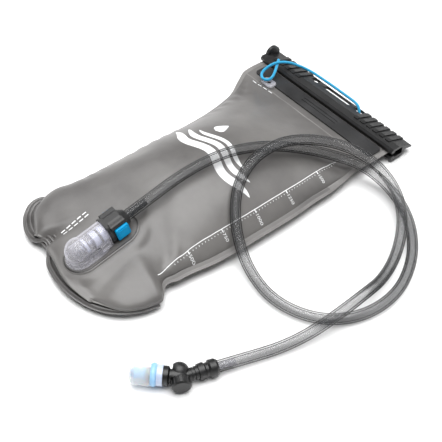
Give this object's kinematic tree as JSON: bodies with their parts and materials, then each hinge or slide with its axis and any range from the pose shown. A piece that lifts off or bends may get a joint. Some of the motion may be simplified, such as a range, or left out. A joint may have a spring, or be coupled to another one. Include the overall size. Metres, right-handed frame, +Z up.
{
  "type": "hydration bladder",
  "caption": "Soft film water bladder with a slide-on top closer, a plug-in drinking hose with release button, a shut-off valve and a silicone bite valve.",
  "frame": {"origin": "on the ground under the middle of the bladder, hose left out", "axes": "+Y along the bladder from the rounded bottom to the slide closer, +Z up from the surface it lies on, +X across towards the hose loop"},
  "size_m": [0.3019, 0.3539, 0.0556],
  "materials": {
    "film": "translucent smoke-grey TPU film, satin",
    "film_weld": "radio-frequency welded TPU film, ribbed",
    "stiffener": "dark co-extruded strip, satin",
    "clear_plastic": "clear moulded plastic",
    "black_plastic": "black moulded plastic, fine texture",
    "white_plastic": "white moulded plastic",
    "pale_plastic": "pale translucent plastic",
    "blue_plastic": "blue moulded plastic",
    "blue_cord": "braided cord",
    "hose_tpu": "translucent grey TPU tube",
    "silicone": "clear soft silicone",
    "pale_blue_silicone": "pale blue silicone",
    "blue_silicone": "blue silicone",
    "black_rubber": "black rubber O-ring",
    "spring_steel": "stainless spring wire"
  },
  "bodies": {
    "bladder": {"front_film": "film", "back_film": "film", "bottom_weld_rim": "film_weld", "inner_baffle": "film", "front_band": "film", "back_band": "film", "front_stiffener": "stiffener", "back_stiffener": "stiffener", "closure_bead": "stiffener", "cord_tab": "clear_plastic", "port_patch": "film", "port_housing": "clear_plastic", "poppet_spring": "spring_steel", "lanyard": "blue_cord"},
    "slide_closer": {"slide_closer": "black_plastic", "lanyard_stop_knot": "blue_cord"},
    "check_valve": {"check_valve_poppet": "white_plastic", "poppet_seal": "black_rubber"},
    "hose_connector": {"connector_core": "white_plastic", "connector_o_ring": "black_rubber", "connector_body": "black_plastic", "button_spring": "spring_steel", "connector_barb": "black_plastic", "hose": "hose_tpu", "hose_coupler": "black_plastic", "coupler_barb": "black_plastic"},
    "release_button": {"release_button": "blue_plastic"},
    "bite_elbow": {"swivel_neck": "black_plastic", "swivel_o_ring": "black_rubber", "valve_body": "black_plastic", "bite_barrel": "black_plastic", "retaining_ring": "pale_plastic", "grip_ring": "pale_blue_silicone", "bite_sleeve": "silicone", "bite_core": "blue_silicone"},
    "shutoff_knob": {"shutoff_knob": "black_plastic", "knob_o_ring": "black_rubber"}
  },
  "joints": [
    {"name": "closer_slide", "type": "slide", "parent": "bladder", "child": "slide_closer", "axis": [-1, 0, 0], "range_m": [0, 0.184], "deforming": ["lanyard"]},
    {"name": "connector_pull", "type": "slide", "parent": "bladder", "child": "hose_connector", "axis": [0, 0.9781, 0.2079], "range_m": [0, 0.014]},
    {"name": "check_valve_lift", "type": "slide", "parent": "bladder", "child": "check_valve", "axis": [0, 0.9781, 0.2079], "range_m": [0, 0.0022], "deforming": ["poppet_spring"]},
    {"name": "button_press", "type": "slide", "parent": "hose_connector", "child": "release_button", "axis": [-1, 0, 0], "range_m": [0, 0.0015], "stiffness_N_per_m": 300, "deforming": ["button_spring"]},
    {"name": "elbow_swivel", "type": "hinge", "parent": "hose_connector", "child": "bite_elbow", "pos_m": [0.16654, -0.1347, 0.00773], "axis": [-0.3006, -0.952, 0.0585], "continuous": true},
    {"name": "shutoff_turn", "type": "hinge", "parent": "bite_elbow", "child": "shutoff_knob", "pos_m": [0.1613, -0.1507, 0.009], "axis": [0.87, -0.493, 0], "range_deg": [0, 90]}
  ],
  "couplings": [
    {"joint": "check_valve_lift", "follows": "connector_pull", "ratio": 0.157}
  ]
}
